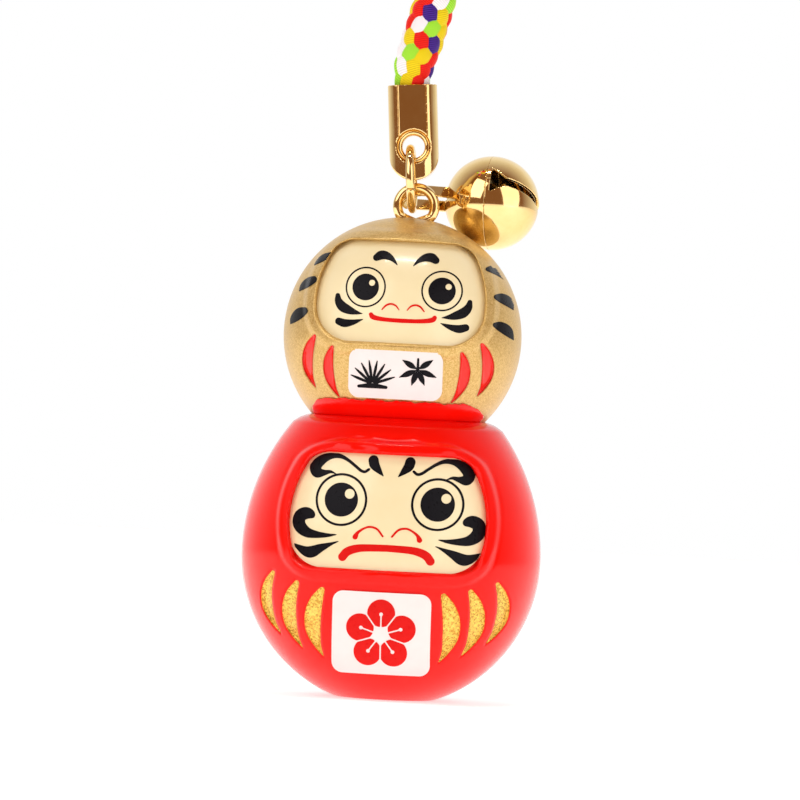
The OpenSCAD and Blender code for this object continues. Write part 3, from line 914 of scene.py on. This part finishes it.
def tube(points: np.ndarray, radius: float, side: Vector, closed: bool, sides: int = 20,
         ) -> tuple[list[tuple[float, float, float]], list[tuple[int, ...]]]:
    """Sweep a round wire along points that lie in one plane.

    Args:
        points: the wire's middle line, in millimetres.
        radius: the wire's radius.
        side: the plane's normal.
        closed: True where the wire joins its own start.
        sides: corners round the wire.
    Returns:
        The corners and the faces.
    """
    count = len(points)
    if closed:
        ahead = np.roll(points, -1, 0) - np.roll(points, 1, 0)
    else:
        ahead = np.gradient(points, axis=0)
    ahead /= np.linalg.norm(ahead, axis=1)[:, None]
    flat = np.array(side, float) / np.linalg.norm(side)
    out = np.cross(flat, ahead)
    corners = []
    for k in range(sides):
        a = 2 * math.pi * k / sides
        corners.append(points + radius * (math.cos(a) * out + math.sin(a) * flat))
    stack = np.stack(corners, axis=1).reshape(-1, 3)
    faces: list[tuple[int, ...]] = []
    for i in range(count if closed else count - 1):
        j = (i + 1) % count
        for k in range(sides):
            n = (k + 1) % sides
            faces.append((i * sides + k, j * sides + k, j * sides + n, i * sides + n))
    if not closed:
        faces.append(tuple(range(sides)))
        faces.append(tuple((count - 1) * sides + k for k in reversed(range(sides))))
    return [tuple(p) for p in stack], faces


def outward(obj: bpy.types.Object) -> bpy.types.Object:
    """Turn a closed mesh's faces outwards."""
    bm = bmesh.new()
    bm.from_mesh(obj.data)
    bmesh.ops.recalc_face_normals(bm, faces=bm.faces)
    bm.to_mesh(obj.data)
    bm.free()
    return obj


def softened(frame: dict[str, Any], node: str, name: str, cell: float, passes: int,
             finish: Finish, ball: tuple[Vector, tuple[float, ...]] | None = None,
             ) -> bpy.types.Object:
    """Copy a CAD node and round its edges, as tumbling and plating do.

    Args:
        node: the CAD node to copy.
        name: the piece's name.
        cell: size of the new faces, in millimetres.
        passes: smoothing passes; more rounds the edges more.
        finish: its finish.
        ball: a centre and radii, in millimetres, whose spheres the surface is set back on.
    Returns:
        The piece.
    """
    mesh = frame["nodes"][node].data.copy()
    mesh.name = name
    bm = bmesh.new()
    bm.from_mesh(mesh)
    bmesh.ops.remove_doubles(bm, verts=bm.verts, dist=1e-6)
    bm.to_mesh(mesh)
    bm.free()
    obj = bpy.data.objects.new(name, mesh)
    bpy.context.scene.collection.objects.link(obj)
    remesh = obj.modifiers.new("faces", "REMESH")
    remesh.mode = "VOXEL"
    remesh.voxel_size = cell * MM
    smooth = obj.modifiers.new("rounding", "SMOOTH")
    smooth.factor, smooth.iterations = 0.5, passes
    done = obj.evaluated_get(bpy.context.evaluated_depsgraph_get())
    plain = bpy.data.meshes.new_from_object(done)
    obj.modifiers.clear()
    obj.data = plain
    plain.name = name
    if ball is not None:
        co = np.empty(len(plain.vertices) * 3)
        plain.vertices.foreach_get("co", co)
        co = co.reshape(-1, 3) / MM
        away = co - np.array(ball[0])
        r = np.linalg.norm(away, axis=1)
        for radius in ball[1]:
            near = np.abs(r - radius) < 0.045
            co[near] = np.array(ball[0]) + away[near] * (radius / r[near])[:, None]
        plain.vertices.foreach_set("co", (co * MM).ravel())
    plain.materials.clear()
    plain.materials.append(finish.material())
    plain.polygons.foreach_set("use_smooth", [True] * len(plain.polygons))
    plain.update()
    return obj


@dataclass
class Fittings:
    """The gilt wire and pressed fittings: screw eye, jump ring and crimped cord end."""

    lean_deg: float = 4.5
    eye_loop_r: float = 1.76
    eye_wire: float = 0.46
    shank_r: float = 0.6
    ring_r: float = 2.88
    ring_wire: float = 0.42
    cut_deg: float = 1.6
    bead_r: float = 1.36
    bead_wire: float = 0.25
    bead_out: float = 0.9

    def build(self, frame: dict[str, Any]) -> dict[str, bpy.types.Object]:
        """Make the fittings.

        Args:
        Returns:
            The pieces by name.
        """
        lean = math.radians(self.lean_deg)
        low, high = box_of("screw_eye")
        eye_mid = np.array([(low[0] + high[0]) / 2, 0, high[2] - self.eye_wire - self.eye_loop_r])
        ring_mid = sum(box_of("jump_ring")) / 2
        # The ring hangs a little to the left and low in the cord end's eyelet
        hung = joint_of(frame, "ring_swing")["pos_m"]
        eyelet = np.array(hung) / MM + np.array([0.3, 0, 0.15])
        # The eye is one bent wire: round above, and a V below where its ends run into the shank
        turn = np.radians(np.linspace(-34, 214, 72))
        loop = np.stack([self.eye_loop_r * np.cos(turn), 0 * turn,
                         self.eye_loop_r * np.sin(turn)], axis=1)
        apex = np.array([[-1.02, 0, -1.22], [-0.5, 0, -1.42], [0, 0, -1.58], [0.5, 0, -1.42],
                         [1.02, 0, -1.22]])
        path = np.vstack([loop, apex]) + eye_mid
        corners, faces = tube(path, self.eye_wire, Vector((0, 1, 0)), True)
        shank = np.array([[0, 0, z] for z in np.linspace(-1.7, -6.7, 12)]) + eye_mid
        more, caps = tube(shank, self.shank_r, Vector((0, 1, 0)), False)
        faces += [tuple(i + len(corners) for i in f) for f in caps]
        eye = outward(make_mesh("eye_wire", corners + more, faces, GOLD_PLATE))
        declare(eye, "doll", "gold_plate", "screw_eye")
        # The ring is cut once, low at the back, where it was opened to thread it
        up = np.array([-math.sin(lean), 0, math.cos(lean)])
        turn = np.radians(np.linspace(200 + self.cut_deg / 2, 560 - self.cut_deg / 2, 150))
        path = (ring_mid + self.ring_r * (np.sin(turn)[:, None] * up
                + np.cos(turn)[:, None] * np.array([0, 1, 0])))
        corners, faces = tube(path, self.ring_wire, Vector((math.cos(lean), 0, math.sin(lean))),
                              False)
        ring = outward(make_mesh("jump_ring_wire", corners, faces, GOLD_PLATE))
        declare(ring, "ring", "gold_plate", "jump_ring")
        end = softened(frame, "ferrule", "crimped_cord_end", 0.065, 6, GOLD_PLATE)
        declare(end, "strap", "gold_plate", "ferrule")
        turn = np.radians(np.linspace(0, 360, 72, endpoint=False))
        across = np.array([math.cos(lean), 0, math.sin(lean)])
        pieces = {"eye": eye, "ring": ring, "end": end}
        for side, label in ((-1, "front"), (1, "back")):
            path = (eyelet + self.bead_r * (np.cos(turn)[:, None] * across
                    + np.sin(turn)[:, None] * up) + np.array([0, side * self.bead_out, 0]))
            corners, faces = tube(path, self.bead_wire, Vector((0, 1, 0)), True)
            bead = outward(make_mesh(f"eyelet_bead_{label}", corners, faces, GOLD_PLATE))
            pieces["bead_" + label] = declare(bead, "strap", "gold_plate")
        return pieces


@dataclass
class Bell:
    """The round jingle bell, pressed in two halves, with its wire lug and steel ball."""

    radius: float = 4.5
    wall: float = 0.35

    def build(self, frame: dict[str, Any]) -> list[bpy.types.Object]:
        """Make the bell's shells and lug, and dress its ball.

        Args:
        Returns:
            The pieces.
        """
        # The ball rests below the bell's middle by half its travel
        travel = joint_of(frame, "clapper_travel")["range_m"][1] / MM
        middle = sum(box_of("bell_clapper")) / 2 + np.array([0, 0, travel / 2])
        ball = (Vector(middle), (self.radius, self.radius - self.wall))
        pieces = []
        for node, name, cell, passes, snap in (
                ("bell_upper_jaw", "bell_jaw_above", 0.07, 3, ball),
                ("bell_lower_jaw", "bell_jaw_below", 0.07, 3, ball),
                ("bell_back_half", "bell_dome", 0.07, 3, ball),
                ("bell_lug", "bell_wire_lug", 0.05, 4, None)):
            pieces.append(declare(softened(frame, node, name, cell, passes, GOLD_PLATE, snap),
                                  "bell", "gold_plate", node))
        dress("bell_clapper", frame, BALL_STEEL)
        return pieces


# ---------- Strap ----------

def strand_tree() -> bpy.types.GeometryNodeTree:
    """Build the tree that lays one strand round a path.

    Returns:
        The tree; its inputs are the strand's turns, phase, weave and section, and its material.
    """
    tree = bpy.data.node_groups.new("strand_round_path", "GeometryNodeTree")
    face = tree.interface
    face.new_socket("Geometry", in_out="INPUT", socket_type="NodeSocketGeometry")
    for name in ("Turns", "Phase", "Radius", "Weave", "Lobes", "Width", "Thickness"):
        face.new_socket(name, in_out="INPUT", socket_type="NodeSocketFloat")
    face.new_socket("Points", in_out="INPUT", socket_type="NodeSocketInt")
    face.new_socket("Material", in_out="INPUT", socket_type="NodeSocketMaterial")
    face.new_socket("Geometry", in_out="OUTPUT", socket_type="NodeSocketGeometry")
    given = add(tree, "NodeGroupInput").outputs

    def maths(kind: str, a: Any, b: Any = 0.0) -> bpy.types.NodeSocket:
        """Add one arithmetic step and return its result."""
        return add(tree, "ShaderNodeMath", {0: a, 1: b}, operation=kind).outputs[0]

    def vectors(kind: str, a: Any, b: Any) -> bpy.types.NodeSocket:
        """Add one vector step and return its result."""
        return add(tree, "ShaderNodeVectorMath", {0: a, 1: b}, operation=kind).outputs[0]

    even = add(tree, "GeometryNodeResampleCurve", {"Curve": given["Geometry"],
                                                   "Count": given["Points"]})
    spot = add(tree, "GeometryNodeSplineParameter").outputs
    forward = add(tree, "GeometryNodeInputTangent").outputs[0]
    beside = vectors("CROSS_PRODUCT", forward, (0.0, 1.0, 0.0))
    angle = maths("ADD", maths("MULTIPLY", maths("MULTIPLY", spot["Factor"], given["Turns"]),
                               2 * math.pi), given["Phase"])
    lift = maths("MULTIPLY", maths("COSINE", maths("MULTIPLY", angle, given["Lobes"])),
                 given["Weave"])
    reach = maths("ADD", given["Radius"], lift)

    def scaled(vector: Any, by: Any) -> bpy.types.NodeSocket:
        """Add a vector times a number."""
        node = add(tree, "ShaderNodeVectorMath", {0: vector}, operation="SCALE")
        tree.links.new(by, node.inputs["Scale"])
        return node.outputs[0]

    radial = vectors("ADD", scaled(beside, maths("COSINE", angle)),
                     scaled((0.0, 1.0, 0.0), maths("SINE", angle)))
    kept = add(tree, "GeometryNodeStoreNamedAttribute",
               {"Geometry": even.outputs[0], "Name": "radial", "Value": radial},
               data_type="FLOAT_VECTOR", domain="POINT")
    kept = add(tree, "GeometryNodeStoreNamedAttribute",
               {"Geometry": kept.outputs[0], "Name": "along", "Value": spot["Length"]},
               data_type="FLOAT", domain="POINT")
    moved = add(tree, "GeometryNodeSetPosition", {"Geometry": kept.outputs[0],
                                                  "Offset": scaled(radial, reach)})
    again = add(tree, "GeometryNodeInputNamedAttribute", {"Name": "radial"},
                data_type="FLOAT_VECTOR")
    turned = add(tree, "GeometryNodeSetCurveNormal", {"Curve": moved.outputs[0],
                                                      "Normal": again.outputs[0]}, mode="FREE")
    ring = add(tree, "GeometryNodeCurvePrimitiveCircle", {"Resolution": 14, "Radius": 0.5},
               mode="RADIUS")
    size = add(tree, "ShaderNodeCombineXYZ", {0: given["Thickness"], 1: given["Width"], 2: 1.0})
    section = add(tree, "GeometryNodeTransform", {"Geometry": ring.outputs[0],
                                                  "Scale": size.outputs[0]})
    skin = add(tree, "GeometryNodeCurveToMesh", {"Curve": turned.outputs[0],
                                                 "Profile Curve": section.outputs[0],
                                                 "Fill Caps": True})
    real = add(tree, "GeometryNodeRealizeInstances", {"Geometry": skin.outputs[0]})
    done = add(tree, "GeometryNodeSetMaterial", {"Geometry": real.outputs[0],
                                                 "Material": given["Material"]})
    add(tree, "NodeGroupOutput", {0: done.outputs[0]})
    return tree


@dataclass
class Strand:
    """One strand's lay round its path, in millimetres and turns."""

    turns: float
    phase: float
    radius: float
    weave: float
    width: float
    thickness: float
    points: int
    finish: Finish
    lobes: float = 4.0


def lay_strands(tree: bpy.types.GeometryNodeTree, name: str, route: Sequence[Sequence[float]],
                strands: Sequence[Strand]) -> bpy.types.Object:
    """Lay strands round a route and join them in one mesh.

    Args:
        tree: the strand tree.
        name: the piece's name.
        route: the middle line's points, in millimetres.
        strands: the strands.
    Returns:
        The piece.
    """
    line = bpy.data.curves.new(name + "_path", "CURVE")
    line.dimensions = "3D"
    smooth = spline(route, 12)
    run = line.splines.new("POLY")
    run.points.add(len(smooth) - 1)
    run.points.foreach_set("co", np.hstack([smooth * MM, np.ones((len(smooth), 1))]).ravel())
    guide = bpy.data.objects.new(name + "_path", line)
    bpy.context.scene.collection.objects.link(guide)
    points, faces, pick, along = [], [], [], []
    finishes: list[Finish] = []
    sockets = {item.name: item.identifier for item in tree.interface.items_tree
               if item.in_out == "INPUT"}
    for strand in strands:
        if strand.finish not in finishes:
            finishes.append(strand.finish)
        layer = guide.modifiers.new("lay", "NODES")
        layer.node_group = tree
        for key, value in (("Turns", strand.turns), ("Phase", strand.phase),
                           ("Radius", strand.radius * MM), ("Weave", strand.weave * MM),
                           ("Lobes", strand.lobes), ("Width", strand.width * MM),
                           ("Thickness", strand.thickness * MM), ("Points", strand.points),
                           ("Material", strand.finish.material())):
            layer[sockets[key]] = value
        guide.update_tag()
        done = guide.evaluated_get(bpy.context.evaluated_depsgraph_get())
        mesh = bpy.data.meshes.new_from_object(done)
        base = len(points)
        points += [tuple(c / MM for c in v.co) for v in mesh.vertices]
        faces += [tuple(i + base for i in p.vertices) for p in mesh.polygons]
        pick += [finishes.index(strand.finish)] * len(mesh.polygons)
        tape = mesh.attributes.get("along")
        along += [d.value for d in tape.data] if tape else [0.0] * len(mesh.vertices)
        guide.modifiers.remove(layer)
        bpy.data.meshes.remove(mesh)
    bpy.data.objects.remove(guide)
    bpy.data.curves.remove(line)
    piece = make_mesh(name, points, faces, finishes, pick)
    layer_along = piece.data.attributes.new("along", "FLOAT", "POINT")
    layer_along.data.foreach_set("value", along)
    return outward(piece)


@dataclass
class Strap:
    """The braided cord, its thread winding and the thin hanging loop."""

    braid_r: float = 2.05
    braid_turns: float = 1.65
    strand_w: float = 1.5
    strand_t: float = 0.8
    weave: float = 0.16
    loop_r: float = 0.6
    whip_r: float = 2.35
    whip_low: float = 87.4
    whip_len: float = 6.0
    whip_x: float = 1.3
    grip_top: float = 58.4

    def build(self, fittings: dict[str, bpy.types.Object]) -> list[bpy.types.Object]:
        """Args:
            fittings: the metal pieces; not used. The cord end rides the strap body, as the braid
                does.
        Returns:
            The pieces.
        """
        tree = strand_tree()
        right = (SILK_RED, SILK_YELLOW, SILK_PURPLE, SILK_RED, SILK_YELLOW, SILK_WHITE,
                 SILK_LIME, SILK_PURPLE)
        left = (SILK_YELLOW, SILK_LIME, SILK_WHITE, SILK_RED, SILK_YELLOW, SILK_LIME,
                SILK_WHITE, SILK_RED)
        middle = self.braid_r - self.strand_t / 2 - self.weave
        strands = []
        for k, colours in enumerate(zip(right, left)):
            for way, finish in zip((1, -1), colours):
                strands.append(Strand(way * self.braid_turns, 2 * math.pi * k / len(right), middle,
                                      way * self.weave, self.strand_w, self.strand_t, 300, finish,
                                      float(len(right))))
        braid = lay_strands(tree, "braided_cord", BRAID_ROUTE, strands)
        self._grip(braid)
        length = (self.whip_low + self.whip_len - 0.4, self.whip_low + 0.4)
        coil = lay_strands(tree, "thread_winding",
                           [(self.whip_x, 0, z) for z in np.linspace(length[1], length[0], 8)],
                           [Strand(22.0, 0.0, self.whip_r - 0.14, 0.0, 0.28, 0.26, 900, RED_CORD)])
        core = revolve("winding_core", self._core_outline(), np.linspace(-math.pi, math.pi, 48,
                                                                      endpoint=False), RED_CORD)
        for vertex in core.data.vertices:
            vertex.co.x += self.whip_x * MM
        plies = [Strand(26.0, k * 2 * math.pi / 3, 0.28, 0.0, 0.62, 0.62, 760, RED_CORD)
                 for k in range(3)]
        loop = lay_strands(tree, "hanging_loop", LOOP_ROUTE, plies)
        for piece, nodes, slot_name in ((braid, ("braid_cord",), "braid"),
                                        (coil, ("cord_whipping",), "thin_cord"),
                                        (core, (), "thin_cord"),
                                        (loop, ("loop_cord",), "thin_cord")):
            declare(piece, "strap", slot_name)
            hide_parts(*nodes)
        return [braid, coil, core, loop]

    def _core_outline(self) -> np.ndarray:
        """Give the rounded core under the thread winding."""
        low, high, r = self.whip_low, self.whip_low + self.whip_len, self.whip_r - 0.2
        rows = [(0.0, low)] + [(r - 0.3 + 0.3 * math.sin(a), low + 0.3 - 0.3 * math.cos(a))
                               for a in np.linspace(0.1, math.pi / 2, 6)]
        rows += [(r, z) for z in np.linspace(low + 0.6, high - 0.6, 6)]
        rows += [(r - 0.3 + 0.3 * math.cos(a), high - 0.3 + 0.3 * math.sin(a))
                 for a in np.linspace(0, math.pi / 2 - 0.1, 6)]
        return np.array(rows + [(0.0, high)])

    def _grip(self, braid: bpy.types.Object) -> None:
        """Flatten the braid where the cord end crimps it."""
        mesh = braid.data
        co = np.empty(len(mesh.vertices) * 3)
        mesh.vertices.foreach_get("co", co)
        co = co.reshape(-1, 3) / MM
        route = np.array(BRAID_ROUTE, float)
        mid = np.interp(co[:, 2], route[:, 2], route[:, 0])
        free = step(self.grip_top - 0.4, self.grip_top + 3.0, co[:, 2])
        co[:, 1] *= 0.40 + 0.60 * free
        co[:, 0] = mid + (co[:, 0] - mid) * (0.84 + 0.16 * free)
        mesh.vertices.foreach_set("co", (co * MM).ravel())
        mesh.update()


# ---------- Studio ----------

@dataclass
class Studio:
    """A white floor, soft lights and a long lens level with the dolls."""

    target: Vector = field(default_factory=lambda: Vector((0.07, 0.0, 28.35)))
    azimuth_deg: float = 2.7
    roll_deg: float = 3.0
    view_mm: float = 76.0
    lens: float = 300.0
    floor_r: float = 700.0
    floor_sides: int = 96
    aim_z: float = 28.0
    # Each softbox: its name, place and size in millimetres, and power in watts
    softboxes: tuple[tuple[str, tuple[float, float, float], Point, float], ...] = (
        ("key_left", (-300, -260, 300), (420, 380), 1.05),
        ("key_right", (330, -260, 200), (360, 420), 0.72),
        ("over", (0, -60, 400), (200, 9), 0.32))

    def camera(self) -> None:
        """Set the camera up."""
        data = bpy.data.cameras.new("camera")
        data.lens, data.sensor_width = self.lens, 36.0
        away = self.view_mm / 36.0 * self.lens
        a, r = math.radians(self.azimuth_deg), math.radians(self.roll_deg)
        back = Vector((math.sin(a), -math.cos(a), 0))
        level, up = Vector((math.cos(a), math.sin(a), 0)), Vector((0, 0, 1))
        right = level * math.cos(r) + up * math.sin(r)
        top = up * math.cos(r) - level * math.sin(r)
        cam = bpy.data.objects.new("camera", data)
        bpy.context.scene.collection.objects.link(cam)
        turn = Matrix((right, top, back)).transposed().to_4x4()
        cam.matrix_world = Matrix.Translation((self.target + back * away) * MM) @ turn
        data.clip_start, data.clip_end = 0.01, 10.0
        bpy.context.scene.camera = cam

    def floor(self) -> None:
        """Lay the pale round floor."""
        count, below = self.floor_sides, -0.02
        ring = [(self.floor_r * math.cos(a), self.floor_r * math.sin(a), below)
                for a in np.linspace(0, 2 * math.pi, count, endpoint=False)]
        floor = make_mesh("studio_floor", [(0.0, 0.0, below)] + ring,
                          [(0, 1 + k, 1 + (k + 1) % count) for k in range(count)],
                          Finish("studio_paper", "F8F8F8", "FCFCFC", 0.9, 0.02, grain_mm=20.0,
                                 glow=0.6))

    def lights(self) -> None:
        """Hang soft lights and the surrounding glow."""
        world = bpy.data.worlds.new("studio")
        bpy.context.scene.world = world
        world.use_nodes = True
        tree = world.node_tree
        tree.nodes.clear()
        way = add(tree, "ShaderNodeTexCoord").outputs["Generated"]
        part = add(tree, "ShaderNodeSeparateXYZ", {0: way})
        # Darker behind the camera, so that the plating has something dark to mirror
        front = add(tree, "ShaderNodeMapRange", {"Value": part.outputs["Y"], "From Min": -0.15,
                                                 "From Max": 0.75, "To Min": 0.0,
                                                 "To Max": 1.0})
        tint = add(tree, "ShaderNodeMixRGB", {"Fac": front.outputs[0],
                                              "Color1": linear("8A6248"),
                                              "Color2": linear("FFFFFF")})
        seen = add(tree, "ShaderNodeLightPath").outputs["Is Camera Ray"]
        paper = add(tree, "ShaderNodeMixRGB", {"Fac": seen, "Color1": tint.outputs[0],
                                               "Color2": linear("FFFFFF")})
        glow = add(tree, "ShaderNodeBackground", {"Color": paper.outputs[0], "Strength": 1.0})
        add(tree, "ShaderNodeOutputWorld", {"Surface": glow.outputs[0]})
        for name, place, size, power in self.softboxes:
            data = bpy.data.lights.new(name, "AREA")
            data.shape, data.energy = "RECTANGLE", power
            data.size, data.size_y = size[0] * MM, size[1] * MM
            lamp = bpy.data.objects.new(name, data)
            bpy.context.scene.collection.objects.link(lamp)
            lamp.location = Vector(place) * MM
            aim = (Vector((0, 0, self.aim_z)) - Vector(place)).to_track_quat("-Z", "Y")
            lamp.rotation_mode = "QUATERNION"
            lamp.rotation_quaternion = aim

    def build(self) -> None:
        """Build the studio."""
        self.camera()
        self.floor()
        self.lights()
        bpy.context.scene.view_settings.view_transform = "Standard"


def report(label: str, pieces: Sequence[bpy.types.Object]) -> None:
    """Log each piece and its number of faces."""
    for piece in pieces:
        LOG.info("%s: %s, %d faces", label, piece.name, len(piece.data.polygons))


def main() -> None:
    """Build every part of the charm over the frame."""
    logging.basicConfig(level=logging.INFO, format="%(message)s")
    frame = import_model()
    Studio().build()
    fittings = Fittings().build(frame)
    report("strap", Strap().build(fittings))
    report("fittings", list(fittings.values()))
    lower, upper = LowerDoll(), UpperDoll()
    report("red doll", lower.build(frame))
    lower.dress(frame)
    report("gold doll", upper.build(frame))
    upper.dress(frame)
    report("bell", Bell().build(frame))


if __name__ == "__main__":
    main()
